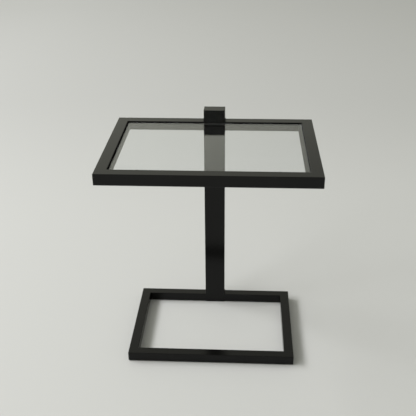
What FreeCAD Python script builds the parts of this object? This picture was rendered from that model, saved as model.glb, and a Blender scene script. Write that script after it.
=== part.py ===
import FreeCAD, Part
import os

# C-shaped side table: a flat post stands in the middle of the back edge. It passes down through a
# low base frame to the floor and up through a framed glass top, and rises a little above it.
# Both frames are square steel tube, mitred, welded and ground flush. The glass drops into its frame.
# Millimetres, +Z up, +Y towards the back, where the post is. The origin is on the floor, under the
# centre of the whole outline.

Vector = FreeCAD.Vector

# Top frame, outside its tubes
TOP_WIDTH = 460.0
TOP_DEPTH = 330.0
TOP_HEIGHT = 510.0            # floor to the frame's upper face
TOP_TUBE = 25.0
TOP_WALL = 1.5
TOP_EDGE_RADIUS = 2.0         # long outer edges of the tube

# Base frame, outside its tubes
BASE_WIDTH = 390.0
BASE_DEPTH = 275.0
BASE_TUBE = 22.0
BASE_WALL = 1.5
BASE_EDGE_RADIUS = 2.0

# Both frames
BORE_EDGE_RADIUS = 0.5        # long inner edges of every tube
GROUND_CORNER_RADIUS = 1.5    # upright outer corners, where the mitre weld is ground back

# Post, its front face in line with the inner faces of both rear rails
POST_WIDTH = 50.0
POST_DEPTH = 30.0
POST_WALL = 2.0
POST_EDGE_RADIUS = 2.0
POST_RISE = 28.0              # above the top frame, with the cap
CAP_THICKNESS = 2.0
CAP_EDGE = 0.8                # bevel round the upper face

# Glass and its seat inside the top frame
GLASS_THICKNESS = 5.0
GLASS_RECESS = 2.5            # glass face below the frame's upper face
GLASS_GAP = 1.5               # all round, to the rails and the post
GLASS_ARRIS = 1.0
GLASS_CORNER_RADIUS = 4.0
LEDGE_WIDTH = 10.0
LEDGE_THICKNESS = 3.0
BUMPER_DIAMETER = 8.0
BUMPER_THICKNESS = 1.0
BUMPER_EDGE = 0.2             # bevel round the upper face
BUMPER_INSET = 60.0           # from the corners of the frame's opening

# Push-in glides under the base frame
GLIDE_DIAMETER = 16.0
GLIDE_THICKNESS = 1.8         # floor to the tubes' underside
GLIDE_EDGE = 0.5
GLIDE_HOLE_DIAMETER = 8.0
GLIDE_PLAY = 0.15             # neck to the wall of its hole
GLIDE_BARB_REACH = 0.5        # barb beyond the rim of the hole
GLIDE_BARB_LIFT = 0.3         # barb above the tube's wall
GLIDE_BARB_HEIGHT = 1.5
GLIDE_STEM_DIAMETER = 6.0
GLIDE_STEM_LENGTH = 5.0       # from the underside of the barb
GLIDE_INSET = 45.0            # from the base frame's corners

# Ribbed plug in the post's lower end
PLUG_HEIGHT = 14.0            # inside the post
PLUG_WALL = 2.0
PLUG_FLANGE_INSET = 0.3       # flange inside the post's outline
PLUG_GAP = 0.9                # cup to the post's bore
PLUG_RIB_PLAY = 0.1           # rib to the post's bore
PLUG_RIB_THICKNESS = 1.2
PLUG_RIB_COUNT = 2

# The outline of the whole table is centred on the origin, which sets the post's front face.
REACH_IN_FRONT = max(TOP_DEPTH - TOP_TUBE, BASE_DEPTH - BASE_TUBE)
REACH_BEHIND = max(TOP_TUBE, BASE_TUBE, POST_DEPTH)
POST_FRONT_Y = (REACH_IN_FRONT - REACH_BEHIND) / 2
POST_CENTRE_Y = POST_FRONT_Y + POST_DEPTH / 2
TOP_CENTRE_Y = POST_FRONT_Y + TOP_TUBE - TOP_DEPTH / 2
BASE_CENTRE_Y = POST_FRONT_Y + BASE_TUBE - BASE_DEPTH / 2

# Opening inside the top frame, and the levels of what it holds
OPENING_WIDTH = TOP_WIDTH - 2 * TOP_TUBE
OPENING_DEPTH = TOP_DEPTH - 2 * TOP_TUBE
GLASS_Z = TOP_HEIGHT - GLASS_RECESS - GLASS_THICKNESS
BUMPER_Z = GLASS_Z - BUMPER_THICKNESS
LEDGE_Z = BUMPER_Z - LEDGE_THICKNESS

SIDES = ("front", "right", "rear", "left")
SAME_LEVEL = 1e-6


def rounded_rectangle(width, depth, radius):
    """Closed wire in the XY plane, centred on the origin."""
    x, y = width / 2 - radius, depth / 2 - radius
    arcs = []
    for quarter, (cx, cy) in enumerate([(x, y), (-x, y), (-x, -y), (x, -y)]):
        start = 90 * quarter
        arcs.append(Part.makeCircle(radius, Vector(cx, cy, 0), Vector(0, 0, 1), start, start + 90))
    edges = []
    for arc, following in zip(arcs, arcs[1:] + arcs[:1]):
        edges += [arc, Part.makeLine(arc.Vertexes[-1].Point, following.Vertexes[0].Point)]
    return Part.Wire(edges)


def plate(width, depth, radius, thickness):
    """Flat plate with rounded upright corners, its underside on z = 0."""
    return Part.Face(rounded_rectangle(width, depth, radius)).extrude(Vector(0, 0, thickness))


def level_edges(shape, z):
    """Edges of the shape that lie flat at height z."""
    def lies_at_z(edge):
        box = edge.BoundBox
        return abs(box.ZMin - z) < SAME_LEVEL and abs(box.ZMax - z) < SAME_LEVEL

    return [edge for edge in shape.Edges if lies_at_z(edge)]


def tube(width, depth, wall, edge_radius, length):
    """Rectangular tube along Z from z = 0, centred on the Z axis."""
    outside = plate(width, depth, edge_radius, length)
    bore = plate(width - 2 * wall, depth - 2 * wall, BORE_EDGE_RADIUS, length)
    return outside.cut(bore)


def flat_bar(width, thickness, length):
    """Solid bar along Z from z = 0, centred on the Z axis."""
    return Part.makeBox(width, thickness, length, Vector(-width / 2, -thickness / 2, 0))


def rectangle_corners(width, depth):
    """Corners in the order that puts the side SIDES[n] between corners n and n + 1."""
    x, y = width / 2, depth / 2
    return [Vector(-x, -y, 0), Vector(x, -y, 0), Vector(x, y, 0), Vector(-x, y, 0)]


def side_length(width, depth, side):
    return width if side in ("front", "rear") else depth


def mitre_plan(width, depth, band, side):
    """Plan of one side of a rectangle of bars band wide, its ends mitred at 45 degrees."""
    outer = rectangle_corners(width, depth)
    inner = rectangle_corners(width - 2 * band, depth - 2 * band)
    first = SIDES.index(side)
    second = (first + 1) % len(SIDES)
    points = [outer[first], outer[second], inner[second], inner[first]]
    return Part.Face(Part.makePolygon(points + points[:1]))


def mitred_side(bar, width, depth, band, height, side):
    """Lay a bar that runs along Z on one side of a rectangle, underside on z = 0, and mitre it.

    The bar is as long as that side, and its section is band wide and height tall.
    """
    along, across = (width, depth) if side in ("front", "rear") else (depth, width)
    laid = bar.copy()
    # A third of a turn about the space diagonal takes X, Y and Z to Y, Z and X.
    laid.rotate(Vector(0, 0, 0), Vector(1, 1, 1), 120)
    laid.translate(Vector(-along / 2, (band - across) / 2, height / 2))
    laid.rotate(Vector(0, 0, 0), Vector(0, 0, 1), 90 * SIDES.index(side))
    mitres = mitre_plan(width, depth, band, side).extrude(Vector(0, 0, height))
    return laid.common(mitres).Solids[0]


def tube_frame(name, width, depth, size, wall, edge_radius, centre_y, underside):
    """Mitred square-tube rectangle whose rear rail is in two halves, butted to the post's sides."""
    ground_outline = plate(width, depth, GROUND_CORNER_RADIUS, size)
    rails = {}
    for side in SIDES:
        bar = tube(size, size, wall, edge_radius, side_length(width, depth, side))
        rail = mitred_side(bar, width, depth, size, size, side).common(ground_outline).Solids[0]
        rail.translate(Vector(0, centre_y, underside))
        rails[f"{name}_{side}_rail"] = rail
    whole = rails.pop(f"{name}_rear_rail")
    gap = Part.makeBox(POST_WIDTH, depth, size, Vector(-POST_WIDTH / 2, centre_y, underside))
    halves = sorted(whole.cut(gap).Solids, key=lambda half: half.CenterOfMass.x)
    for hand, half in zip(("left", "right"), halves):
        rails[f"{name}_rear_rail_{hand}"] = half
    return rails


def glide_spots():
    """Centres of the four glides, on the centre lines of the front and rear base rails."""
    x = BASE_WIDTH / 2 - GLIDE_INSET
    y = (BASE_DEPTH - BASE_TUBE) / 2
    return {
        "front_left": Vector(-x, BASE_CENTRE_Y - y, 0),
        "front_right": Vector(x, BASE_CENTRE_Y - y, 0),
        "rear_left": Vector(-x, BASE_CENTRE_Y + y, 0),
        "rear_right": Vector(x, BASE_CENTRE_Y + y, 0),
    }


def base_frame():
    """Base rails, with a hole in their lower wall for each glide."""
    rails = tube_frame("base", BASE_WIDTH, BASE_DEPTH, BASE_TUBE, BASE_WALL, BASE_EDGE_RADIUS,
                       BASE_CENTRE_Y, GLIDE_THICKNESS)
    lower_half = GLIDE_THICKNESS + BASE_TUBE / 2
    drills = [Part.makeCylinder(GLIDE_HOLE_DIAMETER / 2, lower_half, spot)
              for spot in glide_spots().values()]
    for name in ("base_front_rail", "base_rear_rail_left", "base_rear_rail_right"):
        rails[name] = rails[name].cut(drills).Solids[0]
    return rails


def top_frame():
    return tube_frame("top", TOP_WIDTH, TOP_DEPTH, TOP_TUBE, TOP_WALL, TOP_EDGE_RADIUS,
                      TOP_CENTRE_Y, TOP_HEIGHT - TOP_TUBE)


def post_tube():
    length = TOP_HEIGHT + POST_RISE - CAP_THICKNESS - GLIDE_THICKNESS
    post = tube(POST_WIDTH, POST_DEPTH, POST_WALL, POST_EDGE_RADIUS, length)
    post.translate(Vector(0, POST_CENTRE_Y, GLIDE_THICKNESS))
    return post


def post_cap():
    """Steel plate welded over the post's upper end, with its rim bevelled."""
    cap = plate(POST_WIDTH, POST_DEPTH, POST_EDGE_RADIUS, CAP_THICKNESS)
    cap = cap.makeChamfer(CAP_EDGE, level_edges(cap, CAP_THICKNESS))
    cap.translate(Vector(0, POST_CENTRE_Y, TOP_HEIGHT + POST_RISE - CAP_THICKNESS))
    return cap


def post_foot_plug():
    """Plastic plug: a flange that stands on the floor, and a ribbed open cup inside the post."""
    flange = plate(POST_WIDTH - 2 * PLUG_FLANGE_INSET, POST_DEPTH - 2 * PLUG_FLANGE_INSET,
                   POST_EDGE_RADIUS, GLIDE_THICKNESS)
    flange = flange.makeChamfer(GLIDE_EDGE, level_edges(flange, 0))
    bore_width, bore_depth = POST_WIDTH - 2 * POST_WALL, POST_DEPTH - 2 * POST_WALL

    def within_bore(clearance, height):
        return plate(bore_width - 2 * clearance, bore_depth - 2 * clearance, BORE_EDGE_RADIUS, height)

    cup = within_bore(PLUG_GAP, PLUG_HEIGHT)
    pitch = PLUG_HEIGHT / PLUG_RIB_COUNT
    for number in range(PLUG_RIB_COUNT):
        rib = within_bore(PLUG_RIB_PLAY, PLUG_RIB_THICKNESS)
        rib.translate(Vector(0, 0, (number + 0.5) * pitch))
        cup = cup.fuse(rib)
    cup = cup.cut(within_bore(PLUG_GAP + PLUG_WALL, PLUG_HEIGHT))
    cup.translate(Vector(0, 0, GLIDE_THICKNESS))
    plug = flange.fuse(cup).removeSplitter().Solids[0]
    plug.translate(Vector(0, POST_CENTRE_Y, 0))
    return plug


def glass_ledges():
    """Flat bars welded round the inside of the top frame, mitred at the corners."""
    ledges = {}
    for side in SIDES:
        bar = flat_bar(LEDGE_WIDTH, LEDGE_THICKNESS, side_length(OPENING_WIDTH, OPENING_DEPTH, side))
        ledge = mitred_side(bar, OPENING_WIDTH, OPENING_DEPTH, LEDGE_WIDTH, LEDGE_THICKNESS, side)
        ledge.translate(Vector(0, TOP_CENTRE_Y, LEDGE_Z))
        ledges[f"glass_ledge_{side}"] = ledge
    return ledges


def glass_pane():
    """Loose sheet of glass with its edges arrised and its corners rounded."""
    pane = plate(OPENING_WIDTH - 2 * GLASS_GAP, OPENING_DEPTH - 2 * GLASS_GAP,
                 GLASS_CORNER_RADIUS, GLASS_THICKNESS)
    rims = level_edges(pane, 0) + level_edges(pane, GLASS_THICKNESS)
    pane = pane.makeChamfer(GLASS_ARRIS, rims)
    pane.translate(Vector(0, TOP_CENTRE_Y, GLASS_Z))
    return pane


def bumpers():
    """Soft discs stuck on the ledges, under the middle of the glass's overlap."""
    overlap_middle = (GLASS_GAP + LEDGE_WIDTH) / 2
    side_x = OPENING_WIDTH / 2 - overlap_middle
    end_y = OPENING_DEPTH / 2 - overlap_middle
    corner_x = OPENING_WIDTH / 2 - BUMPER_INSET
    spots = {
        "front_left": (-corner_x, -end_y),
        "front_right": (corner_x, -end_y),
        "rear_left": (-corner_x, end_y),
        "rear_right": (corner_x, end_y),
        "left": (-side_x, 0),
        "right": (side_x, 0),
    }
    discs = {}
    for place, (x, y) in spots.items():
        disc = Part.makeCylinder(BUMPER_DIAMETER / 2, BUMPER_THICKNESS)
        disc = disc.makeChamfer(BUMPER_EDGE, level_edges(disc, BUMPER_THICKNESS))
        disc.translate(Vector(x, TOP_CENTRE_Y + y, BUMPER_Z))
        discs[f"bumper_{place}"] = disc
    return discs


def glide():
    """Push-in glide: a head on the floor, a neck in the tube's wall, and a barbed stem above it."""
    head = GLIDE_DIAMETER / 2
    hole = GLIDE_HOLE_DIAMETER / 2
    stem = GLIDE_STEM_DIAMETER / 2
    wall_top = GLIDE_THICKNESS + BASE_WALL
    barb_z = wall_top + GLIDE_BARB_LIFT
    profile = [
        (0, 0),
        (head - GLIDE_EDGE, 0),
        (head, GLIDE_EDGE),
        (head, GLIDE_THICKNESS),
        (hole - GLIDE_PLAY, GLIDE_THICKNESS),
        (hole - GLIDE_PLAY, barb_z),
        (hole + GLIDE_BARB_REACH, barb_z),
        (stem, barb_z + GLIDE_BARB_HEIGHT),
        (stem, barb_z + GLIDE_STEM_LENGTH),
        (0, barb_z + GLIDE_STEM_LENGTH),
        (0, 0),
    ]
    outline = Part.makePolygon([Vector(radius, 0, z) for radius, z in profile])
    return Part.Face(outline).revolve(Vector(0, 0, 0), Vector(0, 0, 1), 360)


def glides():
    placed = {}
    for place, spot in glide_spots().items():
        piece = glide()
        piece.translate(spot)
        placed[f"glide_{place}"] = piece
    return placed


def table():
    """Every piece of the table, by the name of its node."""
    pieces = {}
    pieces.update(base_frame())
    pieces.update(top_frame())
    pieces["post_tube"] = post_tube()
    pieces["post_cap"] = post_cap()
    pieces["post_foot_plug"] = post_foot_plug()
    pieces.update(glass_ledges())
    pieces["glass_pane"] = glass_pane()
    pieces.update(bumpers())
    pieces.update(glides())
    return pieces


os.makedirs("parts", exist_ok=True)
for node, shape in table().items():
    shape.exportStep(f"parts/{node}.step")
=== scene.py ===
from math import cos, pi, radians, sin

import bmesh
import bpy
from mathutils import Matrix, Vector


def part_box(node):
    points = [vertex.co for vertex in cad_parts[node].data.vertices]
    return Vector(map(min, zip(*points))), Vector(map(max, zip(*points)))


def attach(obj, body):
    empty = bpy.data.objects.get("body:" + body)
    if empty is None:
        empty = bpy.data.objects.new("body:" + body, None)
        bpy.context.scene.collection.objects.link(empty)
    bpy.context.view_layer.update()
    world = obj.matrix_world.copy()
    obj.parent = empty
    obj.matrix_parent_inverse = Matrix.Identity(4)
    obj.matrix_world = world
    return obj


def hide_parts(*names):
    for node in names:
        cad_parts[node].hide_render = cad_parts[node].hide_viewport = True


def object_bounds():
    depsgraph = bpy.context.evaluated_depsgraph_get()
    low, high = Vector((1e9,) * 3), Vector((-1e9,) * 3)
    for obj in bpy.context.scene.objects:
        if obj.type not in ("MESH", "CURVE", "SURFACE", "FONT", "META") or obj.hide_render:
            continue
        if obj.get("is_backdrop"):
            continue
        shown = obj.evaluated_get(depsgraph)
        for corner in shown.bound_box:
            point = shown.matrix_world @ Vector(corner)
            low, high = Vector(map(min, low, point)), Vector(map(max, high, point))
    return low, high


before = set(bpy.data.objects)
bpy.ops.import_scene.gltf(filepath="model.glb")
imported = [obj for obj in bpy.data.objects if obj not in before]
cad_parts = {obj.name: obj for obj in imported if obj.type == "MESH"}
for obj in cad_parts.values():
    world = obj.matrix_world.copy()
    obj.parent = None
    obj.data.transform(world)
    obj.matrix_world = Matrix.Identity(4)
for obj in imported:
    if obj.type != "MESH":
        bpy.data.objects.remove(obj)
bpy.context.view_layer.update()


# ------------------------------------------------------------------------------------------
# Base frame. Five lengths of square steel tube, mitred and welded into a flat loop, the welds
# ground flush. The two rear lengths stop against the post. All steel of the table is powder
# coated satin black after welding, so one coat runs over every joint.

BASE_EDGE_RADIUS = 0.0012      # the rolled edges of drawn tube
GROUND_CORNER_RADIUS = 0.0015  # where the grinder has taken the mitre's sharp outer corner
EDGE_POINTS = 7                # across one rolled edge
GROUND_STEPS = 4               # across half a ground corner
CREASE = radians(35)           # edges sharper than this stay crisp
WELD_TOGETHER = 2e-6           # points nearer than this are one

COAT_BLACK, COAT_DUSTY = (0.0022, 0.0022, 0.0021, 1), (0.0046, 0.0046, 0.0044, 1)
COAT_IOR = 1.30
COAT_PEEL, COAT_GRIT, COAT_FLOW, COAT_SPECKS = 620.0, 2600.0, 22.0, 160.0  # how fine, per metre
PEEL_DEPTH = 0.000009
SPECK_SHARPNESS = 14.0


class Wire:
    """An output socket of a node tree. Sums of wires and numbers add Math nodes to that tree."""

    def __init__(self, tree, socket=None):
        self.tree, self.socket = tree, socket

    def add(self, kind, settings=None, sockets=None, out=0):
        """Adds a node, sets it up, fills or joins its input sockets, and returns one output."""
        node = self.tree.nodes.new(kind)
        for name, value in (settings or {}).items():
            setattr(node, name, value)
        for name, value in (sockets or {}).items():
            if isinstance(value, Wire):
                self.tree.links.new(value.socket, node.inputs[name])
            else:
                node.inputs[name].default_value = value
        return Wire(self.tree, node.outputs[out] if len(node.outputs) else None)

    def other(self, out):
        """Another output of the node that this wire comes from."""
        return Wire(self.tree, self.socket.node.outputs[out])

    def math(self, operation, *values):
        return self.add("ShaderNodeMath", {"operation": operation}, dict(enumerate(values)))

    def __add__(self, value):
        return self.math("ADD", self, value)

    def __sub__(self, value):
        return self.math("SUBTRACT", self, value)

    def __rsub__(self, value):
        return self.math("SUBTRACT", value, self)

    def __mul__(self, value):
        return self.math("MULTIPLY", self, value)

    def __truediv__(self, value):
        return self.math("DIVIDE", self, value)

    __radd__ = __add__
    __rmul__ = __mul__

    def clamped(self, low=0.0, high=1.0):
        return self.math("MAXIMUM", self.math("MINIMUM", self, high), low)

    def mixed(self, first, second):
        """A colour that goes from the first to the second as this share rises."""
        share, colour_a, colour_b, result = 0, 6, 7, 2  # the node's own numbers of these sockets
        sockets = {share: self, colour_a: first, colour_b: second}
        return self.add("ShaderNodeMix", {"data_type": "RGBA"}, sockets, out=result)

    def noise(self, fineness, detail, **more):
        """Cloudy noise over this place, so many clouds to the metre."""
        sockets = {"Vector": self, "Scale": fineness, "Detail": detail, **more}
        return self.add("ShaderNodeTexNoise", sockets=sockets)

    def kept(self, field, kind):
        """This geometry with a field's value kept on its points, and that kept value."""
        node = self.tree.nodes.new("GeometryNodeCaptureAttribute")
        node.capture_items.new(kind, "kept")
        self.tree.links.new(self.socket, node.inputs[0])
        self.tree.links.new(field.socket, node.inputs[1])
        return Wire(self.tree, node.outputs[0]), Wire(self.tree, node.outputs[1])


def new_material(name):
    """An empty node material, and a wire to start its nodes from."""
    material = bpy.data.materials.new(name)
    material.use_nodes = True
    material.node_tree.nodes.clear()
    return material, Wire(material.node_tree)


def powder_coat(name, roughness, shine):
    """Black polyester powder: fine orange peel, and a coat that levels a little unevenly."""
    material, start = new_material(name)
    place = start.add("ShaderNodeTexCoord", out="Object")
    peel = place.noise(COAT_PEEL, 1.5)
    grit = place.noise(COAT_GRIT, 2.0)
    flow = place.noise(COAT_FLOW, 3.0)
    specks = start.add("ShaderNodeTexVoronoi", sockets={"Vector": place, "Scale": COAT_SPECKS})
    dust = (1 - specks * SPECK_SHARPNESS).clamped() * (flow - 0.35).clamped(0.0, 0.3)
    colour = (flow * 0.7 + dust * 2.0).clamped().mixed(COAT_BLACK, COAT_DUSTY)
    relief = start.add(
        "ShaderNodeBump", sockets={"Strength": 1.0, "Distance": PEEL_DEPTH, "Height": peel + grit * 0.25}
    )
    coat = start.add(
        "ShaderNodeBsdfPrincipled",
        sockets={
            "Base Color": colour,
            "Roughness": roughness + flow * 0.05 + grit * 0.03,
            "IOR": COAT_IOR,
            "Specular IOR Level": shine,
            "Normal": relief,
        },
    )
    start.add("ShaderNodeOutputMaterial", sockets={"Surface": coat})
    return material


satin_black = powder_coat("satin_black_powder_coat", roughness=0.13, shine=0.5)


def new_tree(name, sizes):
    """An empty Geometry Nodes tree with these named inputs, a wire to start from and one of each."""
    tree = bpy.data.node_groups.new(name, "GeometryNodeTree")
    tree.interface.new_socket("Geometry", in_out="OUTPUT", socket_type="NodeSocketGeometry")
    for label, kind in sizes.items():
        tree.interface.new_socket(label, in_out="INPUT", socket_type="NodeSocket" + kind)
    given = Wire(tree).add("NodeGroupInput")
    return Wire(tree), {label: given.other(label) for label in sizes}


def end_tree(geometry, material):
    """Creases the sharp edges, paints the geometry and makes it the tree's result."""
    angle = geometry.add("GeometryNodeInputMeshEdgeAngle")
    geometry = geometry.add(
        "GeometryNodeSetShadeSmooth",
        {"domain": "EDGE"},
        {0: geometry, 1: angle.math("GREATER_THAN", angle, CREASE), 2: False},
    )
    geometry = geometry.add("GeometryNodeRealizeInstances", sockets={0: geometry})
    geometry = geometry.add("GeometryNodeSetMaterial", sockets={0: geometry, 2: material})
    geometry.add("NodeGroupOutput", sockets={0: geometry})


def made_by(tree, name, sizes, lines=None):
    """Runs a tree with these sizes, on lines or points if need be, and keeps a plain mesh of it."""
    bench = bpy.data.objects.new("bench", lines or bpy.data.meshes.new("bench"))
    bpy.context.scene.collection.objects.link(bench)
    work = bench.modifiers.new("work", "NODES")
    work.node_group = tree
    for item in tree.interface.items_tree:
        if item.in_out == "INPUT" and item.name in sizes:
            work[item.identifier] = sizes[item.name]
    bench.modifiers.new("flats stay flat", "WEIGHTED_NORMAL").keep_sharp = True
    ready = bench.evaluated_get(bpy.context.evaluated_depsgraph_get())
    mesh = bpy.data.meshes.new_from_object(ready)
    bpy.data.objects.remove(bench)
    mesh.name = name
    piece = bpy.data.objects.new(name, mesh)
    bpy.context.scene.collection.objects.link(piece)
    return piece


def mitred_tube_tree():
    """A tube along X from its outer corner, its section inward along Y and up along Z.
    Each end is cut at 45 degrees and its outer corner ground round, or is cut square."""
    start, size = new_tree(
        "mitred_tube",
        {
            "Length": "Float",
            "Width": "Float",
            "Height": "Float",
            "Edge": "Float",
            "Ground": "Float",
            "Square start": "Float",
            "Square end": "Float",
            "Paint": "Material",
        },
    )
    where = start.add("GeometryNodeInputPosition")
    section = start.add(
        "GeometryNodeCurvePrimitiveQuadrilateral",
        sockets={"Width": size["Width"], "Height": size["Height"]},
    )
    section = start.add(
        "GeometryNodeFilletCurve",
        {"mode": "POLY"},
        {"Curve": section, "Count": EDGE_POINTS, "Radius": size["Edge"]},
    )
    section, spot = section.kept(where, "VECTOR")
    run = start.add("GeometryNodeCurvePrimitiveLine", sockets={"End": (1.0, 0.0, 0.0)})
    run = start.add("GeometryNodeResampleCurve", sockets={"Curve": run, "Count": 2 * GROUND_STEPS + 2})
    run, station = run.kept(start.add("GeometryNodeInputIndex"), "FLOAT")
    tube = start.add(
        "GeometryNodeCurveToMesh", sockets={"Curve": run, "Profile Curve": section, "Fill Caps": True}
    )
    spot_x = start.add("ShaderNodeSeparateXYZ", sockets={"Vector": spot})
    inward = spot_x + size["Width"] / 2
    upward = spot_x.other("Y") + size["Height"] / 2

    past_middle = station - (GROUND_STEPS + 0.5)
    far = start.math("GREATER_THAN", past_middle, 0.0)
    turn = (start.math("ABSOLUTE", past_middle) - 0.5) * (pi / 4 / GROUND_STEPS)
    square = size["Square start"] * (1 - far) + size["Square end"] * far
    reach = start.math("MAXIMUM", inward, size["Ground"])
    ground = start.math("MAXIMUM", size["Ground"] - inward, 0.0)
    along = (reach - ground * start.math("SINE", turn)) * (1 - square)
    inside = inward * square + (reach - ground * start.math("COSINE", turn)) * (1 - square)
    along = along + far * (size["Length"] - along * 2)
    spot = start.add("ShaderNodeCombineXYZ", sockets={"X": along, "Y": inside, "Z": upward})
    tube = start.add("GeometryNodeSetPosition", sockets={"Geometry": tube, "Position": spot})
    tube = start.add("GeometryNodeMergeByDistance", sockets={"Geometry": tube, "Distance": WELD_TOGETHER})
    end_tree(tube, size["Paint"])
    return start.tree


mitred_tube = mitred_tube_tree()


def steel(piece, *nodes):
    """The piece stands for these CAD nodes, painted, and stays with the table's frame."""
    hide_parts(*nodes)
    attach(piece, "table_frame")


def tube(name, place, length, width, height, edge, square_start=0.0, square_end=0.0):
    """A length of tube, moved by a matrix to its place."""
    sizes = {
        "Length": length,
        "Width": width,
        "Height": height,
        "Edge": edge,
        "Ground": GROUND_CORNER_RADIUS,
        "Square start": square_start,
        "Square end": square_end,
        "Paint": satin_black,
    }
    piece = made_by(mitred_tube, name, sizes)
    piece.data.transform(place)
    return piece


def box_of(*nodes):
    """The lowest and highest corner of several CAD nodes together."""
    lows, highs = zip(*(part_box(node) for node in nodes))
    low = Vector([min(corner[axis] for corner in lows) for axis in range(3)])
    return low, Vector([max(corner[axis] for corner in highs) for axis in range(3)])


post_low, post_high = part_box("post_tube")


def tube_frame(level, edge):
    """The five tubes of one frame, laid anticlockwise from the front left corner."""
    front, left, right = (f"{level}_{side}_rail" for side in ("front", "left", "right"))
    rear_left, rear_right = f"{level}_rear_rail_left", f"{level}_rear_rail_right"
    low, high = box_of(front, left, right, rear_left, rear_right)
    across, deep, thick = high.x - low.x, high.y - low.y, high.z - low.z
    laid = (  # node, outer corner, quarter turns, length, is the start square, is the end
        (front, low.x, low.y, 0, across, 0, 0),
        (right, high.x, low.y, 1, deep, 0, 0),
        (rear_right, high.x, high.y, 2, high.x - post_high.x, 0, 1),
        (rear_left, post_low.x, high.y, 2, post_low.x - low.x, 1, 0),
        (left, low.x, high.y, 3, deep, 0, 0),
    )
    for node, x, y, quarter, length, square_start, square_end in laid:
        place = Matrix.Translation((x, y, low.z)) @ Matrix.Rotation(quarter * pi / 2, 4, "Z")
        rail = tube(f"{node}_painted", place, length, thick, thick, edge, square_start, square_end)
        steel(rail, node)


tube_frame("base", BASE_EDGE_RADIUS)


# ------------------------------------------------------------------------------------------
# Post. One flat rectangular steel tube on end. It runs from the floor up between the rear
# lengths of both frames and stands a little above the top. A steel plate closes its upper end,
# welded round and dressed until only a soft edge is left.

POST_EDGE_RADIUS = 0.0012
CAP_EDGE = 0.0008
CAP_STEPS = 5
FLAT_BAND = 0.0004      # a narrow flat strip beside each rounded edge keeps the face behind it flat
LEAST_RADIUS = 0.00005  # a corner never gets sharper than this

upright = Matrix(((0, 1, 0), (0, 0, 1), (1, 0, 0))).to_4x4()  # a tube along X turned to stand up
post = tube(
    "post_tube_painted",
    Matrix.Translation(post_low) @ upright,
    post_high.z - post_low.z,
    post_high.x - post_low.x,
    post_high.y - post_low.y,
    POST_EDGE_RADIUS,
    1.0,
    1.0,
)
steel(post, "post_tube")


def joined_rings(name, rings, materials, band_material=None):
    """A closed body from rings of points, each anticlockwise from above, lowest ring first."""
    body = bmesh.new()
    loops = [[body.verts.new(point) for point in ring] for ring in rings]
    count = len(rings[0])
    for level, (lower, upper) in enumerate(zip(loops, loops[1:])):
        for i in range(count):
            j = (i + 1) % count
            side = body.faces.new((lower[i], lower[j], upper[j], upper[i]))
            side.material_index = band_material[level] if band_material else 0
    body.faces.new(loops[0][::-1])
    body.faces.new(loops[-1])
    mesh = bpy.data.meshes.new(name)
    body.to_mesh(mesh)
    body.free()
    for material in materials:
        mesh.materials.append(material)
    mesh.shade_smooth()
    mesh.set_sharp_from_angle(angle=CREASE)
    piece = bpy.data.objects.new(name, mesh)
    bpy.context.scene.collection.objects.link(piece)
    return piece


def round_cornered(low, high, corner, inset, height, steps):
    """A ring at one height: a rectangle with round corners, drawn in by an inset."""
    ring = []
    radius = max(corner - inset, LEAST_RADIUS)
    reach = max(corner, inset + LEAST_RADIUS)
    for quarter in range(4):
        x = high.x - reach if quarter in (0, 3) else low.x + reach
        y = high.y - reach if quarter in (0, 1) else low.y + reach
        for step in range(steps + 1):
            angle = (quarter + step / steps) * pi / 2
            ring.append((x + radius * cos(angle), y + radius * sin(angle), height))
    return ring


def dressed_cap():
    """The plate on the post: its sides go straight up and its upper edge is eased."""
    low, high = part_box("post_cap")
    outline = [(0.0, low.z), (0.0, high.z - CAP_EDGE - FLAT_BAND)]
    for step in range(CAP_STEPS + 1):
        angle = step / CAP_STEPS * pi / 2
        outline.append((CAP_EDGE * (1 - cos(angle)), high.z - CAP_EDGE * (1 - sin(angle))))
    outline.append((CAP_EDGE + FLAT_BAND, high.z))
    rings = [round_cornered(low, high, POST_EDGE_RADIUS, inset, z, EDGE_POINTS) for inset, z in outline]
    return joined_rings("post_cap_painted", rings, [satin_black])


steel(dressed_cap(), "post_cap")


# ------------------------------------------------------------------------------------------
# Top frame. The same mitred loop in a heavier square tube. It is a little wider and deeper than
# the base, and carries the glass inside it.

TOP_EDGE_RADIUS = 0.0012

tube_frame("top", TOP_EDGE_RADIUS)


# ------------------------------------------------------------------------------------------
# Glass ledges. Flat steel bars with mitred ends, tacked inside the top frame a little below its
# rim. Their CAD shape is the real one, so they only get the paint, which is thin and dull in there.

thin_black = powder_coat("thin_black_powder_coat", roughness=0.4, shine=0.2)
LEDGES = [f"glass_ledge_{side}" for side in ("front", "rear", "left", "right")]

for ledge in LEDGES:
    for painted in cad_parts[ledge].material_slots:
        painted.material = thin_black


# ------------------------------------------------------------------------------------------
# Welds. Small painted beads round both joints of the post, on the sides that can't be ground,
# short tacks under the ledges, and a flush fill where the post's rolled edge would leave a
# groove beside each rear tube.

BEAD_LEG = 0.0018
BEAD_TURN = 0.0008  # how sharply a bead turns over a tube's edge
BEAD_SIDES = 14
TACK_LEG = 0.0015
TACK_LENGTH = 0.014
TACKS_ALONG, TACKS_ACROSS = (0.1, 0.5, 0.9), (0.25, 0.75)  # as shares of a ledge's length
RIPPLE_PITCH = 0.0016
RIPPLE_HEIGHT = 0.07                         # as a share of the bead's thickness
WANDER_FINENESS, WANDER_SHARE = 300.0, 0.35  # how unsteadily the welder's hand lays it


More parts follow.
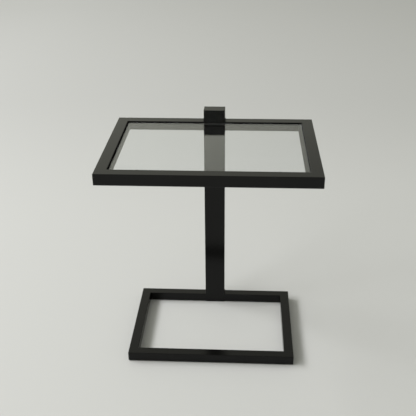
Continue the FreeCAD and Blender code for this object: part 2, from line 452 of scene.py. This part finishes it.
def bead_tree():
    """A weld bead along each line of a mesh: a round bar with a rippled, tapering thickness."""
    start, size = new_tree(
        "weld_bead", {"Seams": "Geometry", "Leg": "Float", "Pitch": "Float", "Paint": "Material"}
    )
    seam = start.add("GeometryNodeMeshToCurve", sockets={0: size["Seams"]})
    step = size["Pitch"] / 4
    seam = start.add("GeometryNodeResampleCurve", {"mode": "LENGTH"}, {"Curve": seam, "Length": step})
    gone = start.add("GeometryNodeSplineParameter", out="Length")
    whole = start.add("GeometryNodeSplineLength")
    left = start.math("MINIMUM", gone, whole - gone)
    wander = start.add("GeometryNodeInputPosition").noise(WANDER_FINENESS, 2.0)
    ripple = start.math("SINE", gone / size["Pitch"] * (2 * pi)) * RIPPLE_HEIGHT
    ripple = ripple + (wander - 0.5) * WANDER_SHARE + 1
    taper = start.math("POWER", (left / size["Leg"] * 0.5 + 0.15).clamped(), 0.5)
    bar = start.add(
        "GeometryNodeCurvePrimitiveCircle", sockets={"Resolution": BEAD_SIDES, "Radius": size["Leg"]}
    )
    bead = start.add(
        "GeometryNodeCurveToMesh",
        sockets={"Curve": seam, "Profile Curve": bar, "Scale": ripple * taper, "Fill Caps": True},
    )
    end_tree(bead, size["Paint"])
    return start.tree


weld_bead = bead_tree()


def seam_lines(name, runs):
    """A mesh of broken lines, one for each run of points."""
    points = [point for run in runs for point in run]
    edges, first = [], 0
    for run in runs:
        edges += [(first + i, first + i + 1) for i in range(len(run) - 1)]
        first += len(run)
    mesh = bpy.data.meshes.new(name)
    mesh.from_pydata(points, edges, [])
    return mesh


def post_seams():
    """Over and behind each rear tube, where it meets the post's sides, and under the top ones."""
    runs = []
    front = post_low.y + POST_EDGE_RADIUS
    for level in ("base", "top"):
        for side, x in (("left", post_low.x), ("right", post_high.x)):
            low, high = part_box(f"{level}_rear_rail_{side}")
            run = [
                (x, front, high.z),
                (x, high.y - BEAD_TURN, high.z),
                (x, high.y, high.z - BEAD_TURN),
                (x, high.y, low.z + BEAD_LEG),
            ]
            if level == "top":
                run += [(x, high.y - BEAD_TURN, low.z), (x, front, low.z)]
            runs.append(run)
    return seam_lines("post_seams", runs)


def ledge_tacks():
    """Short tacks under the ledges, against the tubes, but none where the post stands."""
    runs = []
    low, high = box_of(*LEDGES)
    for share in TACKS_ALONG:
        x = low.x + (high.x - low.x) * share
        for y in (low.y, high.y):
            if y == high.y and share == 0.5:
                continue
            runs.append([(x - TACK_LENGTH / 2, y, low.z), (x + TACK_LENGTH / 2, y, low.z)])
    for share in TACKS_ACROSS:
        y = low.y + (high.y - low.y) * share
        for x in (low.x, high.x):
            runs.append([(x, y - TACK_LENGTH / 2, low.z), (x, y + TACK_LENGTH / 2, low.z)])
    return seam_lines("ledge_tacks", runs)


def weld(piece):
    """The piece is weld metal, painted with the frame."""
    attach(piece, "table_frame")


for name, leg, seams in (
    ("post_weld_beads", BEAD_LEG, post_seams()),
    ("ledge_tack_welds", TACK_LEG, ledge_tacks()),
):
    weld(made_by(weld_bead, name, {"Leg": leg, "Pitch": RIPPLE_PITCH, "Paint": satin_black}, seams))

for level, edge in (("base", BASE_EDGE_RADIUS), ("top", TOP_EDGE_RADIUS)):
    for side in ("left", "right"):
        low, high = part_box(f"{level}_rear_rail_{side}")
        x = post_low.x + POST_EDGE_RADIUS if side == "left" else post_high.x
        place = Matrix.Translation((x, high.y, low.z)) @ Matrix.Rotation(pi, 4, "Z")
        thick = high.z - low.z
        weld(tube(f"{level}_{side}_flush_weld", place, POST_EDGE_RADIUS, thick, thick, edge, 1.0, 1.0))


# ------------------------------------------------------------------------------------------
# Bumpers. Six soft black discs stuck to the ledges, so that the glass neither rattles nor
# touches steel.

BUMPER_EDGE = 0.00035
BUMPER_RELIEF = 0.00002  # left under the glass
TURNED_STEPS = 48        # round a turned part
EASE_STEPS = 4           # across each of its eased corners
RUBBER_BLACK, RUBBER_DUSTY = (0.008, 0.008, 0.008, 1), (0.022, 0.022, 0.021, 1)
RUBBER_IOR = 1.5
RUBBER_DUST = 900.0      # so many specks to the metre


def turned_tree():
    """A turned part from a half profile, set down once on every point of a mesh."""
    start, size = new_tree(
        "turned_part",
        {"Places": "Geometry", "Profile": "Object", "Steps": "Int", "Material": "Material"},
    )
    half = start.add("GeometryNodeObjectInfo", sockets={"Object": size["Profile"]}, out="Geometry")
    half = start.add("GeometryNodeMeshToCurve", sockets={0: half})
    half, spot = half.kept(start.add("GeometryNodeInputPosition"), "VECTOR")
    circle = start.add(
        "GeometryNodeCurvePrimitiveCircle", sockets={"Resolution": size["Steps"], "Radius": 1.0}
    )
    circle, step = circle.kept(start.add("GeometryNodeInputIndex"), "FLOAT")
    part = start.add("GeometryNodeCurveToMesh", sockets={"Curve": circle, "Profile Curve": half})
    angle = step / size["Steps"] * (2 * pi)
    radius = start.add("ShaderNodeSeparateXYZ", sockets={"Vector": spot})
    spot = start.add(
        "ShaderNodeCombineXYZ",
        sockets={
            "X": radius * start.math("COSINE", angle),
            "Y": radius * start.math("SINE", angle),
            "Z": radius.other("Z"),
        },
    )
    part = start.add("GeometryNodeSetPosition", sockets={"Geometry": part, "Position": spot})
    part = start.add("GeometryNodeMergeByDistance", sockets={"Geometry": part, "Distance": WELD_TOGETHER})
    parts = start.add("GeometryNodeInstanceOnPoints", sockets={"Points": size["Places"], "Instance": part})
    end_tree(parts, size["Material"])
    return start.tree


turned_part = turned_tree()


def eased(corners, ease):
    """A half profile through these (radius, height) corners, with each inner corner rounded."""
    points = [Vector(corners[0])]
    for before, corner, after in zip(corners, corners[1:], corners[2:]):
        corner = Vector(corner)
        to_before = (Vector(before) - corner).normalized()
        to_after = (Vector(after) - corner).normalized()
        for step in range(EASE_STEPS + 1):
            share = step / EASE_STEPS
            pull = to_before * (1 - share) ** 2 + to_after * share**2
            points.append(corner + pull * ease)
    points.append(Vector(corners[-1]))
    return points


def turned(name, nodes, corners, ease, material):
    """One turned part in the place of each of these CAD nodes, standing on its lowest height."""
    places = bpy.data.meshes.new("places")
    boxes = [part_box(node) for node in nodes]
    feet = [((low.x + high.x) / 2, (low.y + high.y) / 2, low.z) for low, high in boxes]
    places.from_pydata(feet, [], [])
    points = eased(corners, ease)
    line = bpy.data.meshes.new("half profile")
    line.from_pydata([(r, 0, z) for r, z in points], [(i, i + 1) for i in range(len(points) - 1)], [])
    profile = bpy.data.objects.new("half profile", line)
    bpy.context.scene.collection.objects.link(profile)
    sizes = {"Profile": profile, "Steps": TURNED_STEPS, "Material": material}
    piece = made_by(turned_part, name, sizes, places)
    bpy.data.objects.remove(profile)
    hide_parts(*nodes)
    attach(piece, "table_frame")
    return piece


def black_rubber():
    """Moulded rubber, matt and a little dusty."""
    material, start = new_material("black_bumper_rubber")
    place = start.add("ShaderNodeTexCoord", out="Object")
    dust = place.noise(RUBBER_DUST, 3.0)
    rubber = start.add(
        "ShaderNodeBsdfPrincipled",
        sockets={
            "Base Color": dust.mixed(RUBBER_BLACK, RUBBER_DUSTY),
            "Roughness": 0.5 + dust * 0.2,
            "IOR": RUBBER_IOR,
        },
    )
    start.add("ShaderNodeOutputMaterial", sockets={"Surface": rubber})
    return material


CORNERS = ("front_left", "front_right", "rear_left", "rear_right")
BUMPERS = [f"bumper_{place}" for place in (*CORNERS, "left", "right")]
bumper_low, bumper_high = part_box(BUMPERS[0])
bumper_radius = (bumper_high.x - bumper_low.x) / 2
bumper_top = bumper_high.z - bumper_low.z - BUMPER_RELIEF
bumper_line = [(0, 0), (bumper_radius, 0), (bumper_radius, bumper_top), (0, bumper_top)]
bumpers = turned("glass_bumpers", BUMPERS, bumper_line, BUMPER_EDGE, black_rubber())


# ------------------------------------------------------------------------------------------
# Glass. One sheet of clear toughened float glass, its corners nipped round and its rim ground
# flat with a small arris above and below. It lies loose on the bumpers and lifts straight out.

GLASS_CORNER_RADIUS = 0.004
GLASS_ARRIS = 0.001
GLASS_CORNER_STEPS = 12
GLASS_SLID = Vector((0.001, -0.001, 0.0))  # lying loose, it has slid a little to the front right
GLASS_IOR = 1.52
GLASS_TINT, GLASS_TINT_DENSITY = (0.55, 0.60, 0.675, 1), 40.0  # from the iron in the sand
WIPE_MARKS = 9.0                                               # so many to the metre


def float_glass(name, smear, haze):
    """Clear float glass with a faint cool tint. Haze is the roughness that grinding leaves."""
    material, start = new_material(name)
    place = start.add("ShaderNodeTexCoord", out="Object")
    wipe = place.noise(WIPE_MARKS, 5.0, Distortion=1.2)
    glass = start.add(
        "ShaderNodeBsdfPrincipled",
        sockets={
            "Base Color": (1.0, 1.0, 1.0, 1),
            "Roughness": haze + (wipe - 0.5).clamped() * smear,
            "IOR": GLASS_IOR,
            "Transmission Weight": 1.0,
        },
    )
    tint = start.add(
        "ShaderNodeVolumeAbsorption", sockets={"Color": GLASS_TINT, "Density": GLASS_TINT_DENSITY}
    )
    start.add("ShaderNodeOutputMaterial", sockets={"Surface": glass, "Volume": tint})
    return material


def glass_sheet():
    """The sheet where it lies: clear faces, and a rim and two arrises that are ground."""
    low, high = (corner + GLASS_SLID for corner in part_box("glass_pane"))
    outline = [
        (GLASS_ARRIS, low.z),
        (0.0, low.z + GLASS_ARRIS),
        (0.0, high.z - GLASS_ARRIS),
        (GLASS_ARRIS, high.z),
    ]
    rings = [
        round_cornered(low, high, GLASS_CORNER_RADIUS, inset, z, GLASS_CORNER_STEPS) for inset, z in outline
    ]
    clear = float_glass("clear_float_glass", smear=0.05, haze=0.0)
    ground = float_glass("ground_glass_edge", smear=0.1, haze=0.22)
    return joined_rings("glass_sheet", rings, [clear, ground], band_material=[1, 1, 1])


glass = glass_sheet()
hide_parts("glass_pane")
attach(glass, "glass_top")
glass.visible_shadow = False  # clear glass hardly dims the lamp


# ------------------------------------------------------------------------------------------
# Glides and foot plug. Black moulded plastic. Four glides snap into holes under the base and
# keep the steel off the floor, and a ribbed plug closes the foot of the post.

GLIDE_FLANGE = 0.0018
GLIDE_EASE = 0.0004
GLIDE_STEM = 0.006
PLASTIC_BLACK, PLASTIC_SCUFFED = (0.008, 0.008, 0.009, 1), (0.02, 0.02, 0.021, 1)
PLASTIC_IOR = 1.5
PLASTIC_GRAIN, GRAIN_DEPTH = 1800.0, 0.00002  # so many grains to the metre
PLASTIC_SCUFFS = 70.0


def moulded_plastic():
    """Black polythene with the fine spark-eroded grain of its mould."""
    material, start = new_material("black_moulded_plastic")
    place = start.add("ShaderNodeTexCoord", out="Object")
    grain, scuff = place.noise(PLASTIC_GRAIN, 3.0), place.noise(PLASTIC_SCUFFS, 4.0)
    relief = start.add(
        "ShaderNodeBump", sockets={"Strength": 1.0, "Distance": GRAIN_DEPTH, "Height": grain}
    )
    plastic = start.add(
        "ShaderNodeBsdfPrincipled",
        sockets={
            "Base Color": scuff.mixed(PLASTIC_BLACK, PLASTIC_SCUFFED),
            "Roughness": 0.45 + scuff * 0.2,
            "IOR": PLASTIC_IOR,
            "Normal": relief,
        },
    )
    start.add("ShaderNodeOutputMaterial", sockets={"Surface": plastic})
    return material


plastic = moulded_plastic()
GLIDES = [f"glide_{corner}" for corner in CORNERS]
glide_low, glide_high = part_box(GLIDES[0])
glide_radius = (glide_high.x - glide_low.x) / 2
glide_top = glide_high.z - glide_low.z
glide_line = [
    (0, 0),
    (glide_radius, 0),
    (glide_radius, GLIDE_FLANGE),
    (GLIDE_STEM / 2, GLIDE_FLANGE),
    (GLIDE_STEM / 2, glide_top),
    (0, glide_top),
]
glides = turned("floor_glides", GLIDES, glide_line, GLIDE_EASE, plastic)

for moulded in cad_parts["post_foot_plug"].material_slots:
    moulded.material = plastic


# ------------------------------------------------------------------------------------------
# Studio. A pale ground that runs out to the horizon, with painted shade behind the table and under
# the lamps, two large soft lamps on the left and an even pale sky for the fill.

GROUND_RADIUS, GROUND_SIDES = 14.0, 96
GROUND_FADE = (4.2, 8.0)            # between these radii it passes into a painted glow of the sky's light
GROUND_NEAR = (0.604, 0.606, 0.606, 1)
GROUND_PAINTED_FALLOFF = (0.540, 0.542, 0.543, 1)
BEHIND = (0.4, 1.9)                 # metres behind the table, over which painted shade darkens the ground
GROUND_PAINTED_SHADE = (0.400, 0.402, 0.390, 1)
UNDER_LAMPS = (-1.2, -3.6)          # metres across, where painted shade darkens the ground against the lamps' pool of light
GROUND_CLOUDS, CLOUD_SHARE = 1.1, 0.12
TOOTH, TOOTH_DEPTH = 300.0, 0.0001
SKY_LOW = (0.539, 0.545, 0.468, 1)
SKY_TOP = (0.408, 0.412, 0.365, 1)
OVERHEAD = (0.45, 0.95)             # sines of the elevation
SKY_SIDE_FALL, SKY_SIDE_UNTIL = 1.04, 0.3  # it dims from left to right, between these reaches
SKY_DEPTH_RISE = 0.13                      # and brightens from front to back
LAMP_DISTANCE = 8.0


def rise(wire, between):
    """From 0 to 1, smoothly, while the wire's value passes between these two."""
    first, last = between
    return wire.add(
        "ShaderNodeMapRange",
        {"interpolation_type": "SMOOTHSTEP"},
        {"Value": wire, "From Min": first, "From Max": last},
    )


def sky_strength(across, deep):
    """How bright the sky is in a direction, from how far it points right and back."""
    side = across.clamped(-SKY_SIDE_UNTIL, SKY_SIDE_UNTIL)
    return (1 - side * SKY_SIDE_FALL) * (deep * SKY_DEPTH_RISE + 1)


def seamless_paper():
    """Matt pale ground with a faint tooth, with painted shade behind the table and under the lamps. Far out
    it passes into a painted glow of the sky's own colour and light.
    """
    material, start = new_material("pale_ground")
    place = start.add("ShaderNodeTexCoord", out="Object")
    across = start.add("ShaderNodeSeparateXYZ", sockets={"Vector": place})
    deep = across.other("Y")
    tooth, cloud = place.noise(TOOTH, 3.0), place.noise(GROUND_CLOUDS, 2.0)
    # Painted shade: the ground darkens behind the table, standing in for the lamps' light falling off, with
    # a cloudy edge.
    behind = (rise(deep, BEHIND) + (cloud - 0.5) * CLOUD_SHARE).clamped()
    colour = behind.mixed(GROUND_NEAR, GROUND_PAINTED_FALLOFF)
    # Painted shade: darker out to the left, under the lamps, so that their pool of light doesn't glare
    # there.
    colour = rise(across, UNDER_LAMPS).mixed(colour, GROUND_PAINTED_SHADE)
    relief = start.add(
        "ShaderNodeBump", sockets={"Strength": 0.3, "Distance": TOOTH_DEPTH, "Height": tooth}
    )
    paper = start.add(
        "ShaderNodeBsdfPrincipled",
        sockets={"Base Color": colour, "Roughness": 0.8, "Specular IOR Level": 0.2, "Normal": relief},
    )
    # Painted light: far out the ground glows with the sky's colour and brightness, an emission that is no
    # lamp.
    spread = start.add("ShaderNodeVectorMath", {"operation": "LENGTH"}, {0: place}, out="Value")
    strength = sky_strength(across / spread, deep / spread)
    horizon = start.add("ShaderNodeVectorMath", {"operation": "SCALE"}, {0: SKY_LOW[:3], "Scale": strength})
    glow = start.add("ShaderNodeEmission", sockets={"Color": horizon, "Strength": 1.0})
    ground = start.add("ShaderNodeMixShader", sockets={0: rise(spread, GROUND_FADE), 1: paper, 2: glow})
    start.add("ShaderNodeOutputMaterial", sockets={"Surface": ground})
    return material


def ground_disc():
    """The ground, as wide as it can be seen."""
    disc = bmesh.new()
    bmesh.ops.create_circle(disc, cap_ends=True, segments=GROUND_SIDES, radius=GROUND_RADIUS)
    mesh = bpy.data.meshes.new("ground")
    disc.to_mesh(mesh)
    disc.free()
    mesh.materials.append(seamless_paper())
    ground = bpy.data.objects.new("ground", mesh)
    bpy.context.scene.collection.objects.link(ground)
    ground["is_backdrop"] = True


def pale_sky():
    """A studio's even surround, greyer overhead."""
    world = bpy.data.worlds.new("studio")
    world.use_nodes = True
    world.node_tree.nodes.clear()
    start = Wire(world.node_tree)
    way = start.add("ShaderNodeTexCoord", out="Generated")
    across = start.add("ShaderNodeSeparateXYZ", sockets={"Vector": way})
    colour = rise(across.other("Z"), OVERHEAD).mixed(SKY_LOW, SKY_TOP)
    strength = sky_strength(across, across.other("Y"))
    colour = start.add("ShaderNodeVectorMath", {"operation": "SCALE"}, {0: colour, "Scale": strength})
    sky = start.add("ShaderNodeBackground", sockets={"Color": colour, "Strength": 1.0})
    start.add("ShaderNodeOutputWorld", sockets={"Surface": sky})
    bpy.context.scene.world = world


def soft_lamp(name, elevation, in_front, width, height, power):
    """A softbox on the left that faces the table from an elevation, a little in front or behind."""
    lamp = bpy.data.lights.new(name, "AREA")
    lamp.shape = "RECTANGLE"
    lamp.size, lamp.size_y = width, height
    lamp.energy = power
    box = bpy.data.objects.new(name, lamp)
    towards = Vector((-cos(in_front) * cos(elevation), -sin(in_front) * cos(elevation), sin(elevation)))
    box.location = towards * LAMP_DISTANCE
    box.rotation_euler = towards.to_track_quat("Z", "Y").to_euler()
    box.visible_transmission = False  # its light already comes through the glass unshadowed
    bpy.context.scene.collection.objects.link(box)


ground_disc()
pale_sky()
soft_lamp("key", radians(39.5), in_front=radians(10), width=10.0, height=2.5, power=478.0)
soft_lamp("accent", radians(37.5), in_front=radians(-5), width=6.0, height=1.8, power=203.0)


# ------------------------------------------------------------------------------------------
# Camera. A long lens, about as high as the eyes of somebody who sits in front of the table. It
# looks down on it, almost straight from the front.

CAMERA_PLACE = (0.0702, -1.4204, 1.0838)
CAMERA_LENS, CAMERA_PICTURE = 60.65, 36.0  # millimetres
CAMERA_TURN, CAMERA_DOWN, CAMERA_LEAN = radians(3.193), radians(27.196), radians(-0.507)

camera = bpy.data.objects.new("camera", bpy.data.cameras.new("camera"))
camera.data.sensor_width = CAMERA_PICTURE
camera.data.lens = CAMERA_LENS
camera.matrix_world = (
    Matrix.Translation(CAMERA_PLACE)
    @ Matrix.Rotation(CAMERA_TURN, 4, "Z")
    @ Matrix.Rotation(pi / 2 - CAMERA_DOWN, 4, "X")
    @ Matrix.Rotation(CAMERA_LEAN, 4, "Z")
)
bpy.context.scene.collection.objects.link(camera)
bpy.context.scene.camera = camera
bpy.context.scene.view_settings.view_transform = "Standard"

low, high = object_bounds()
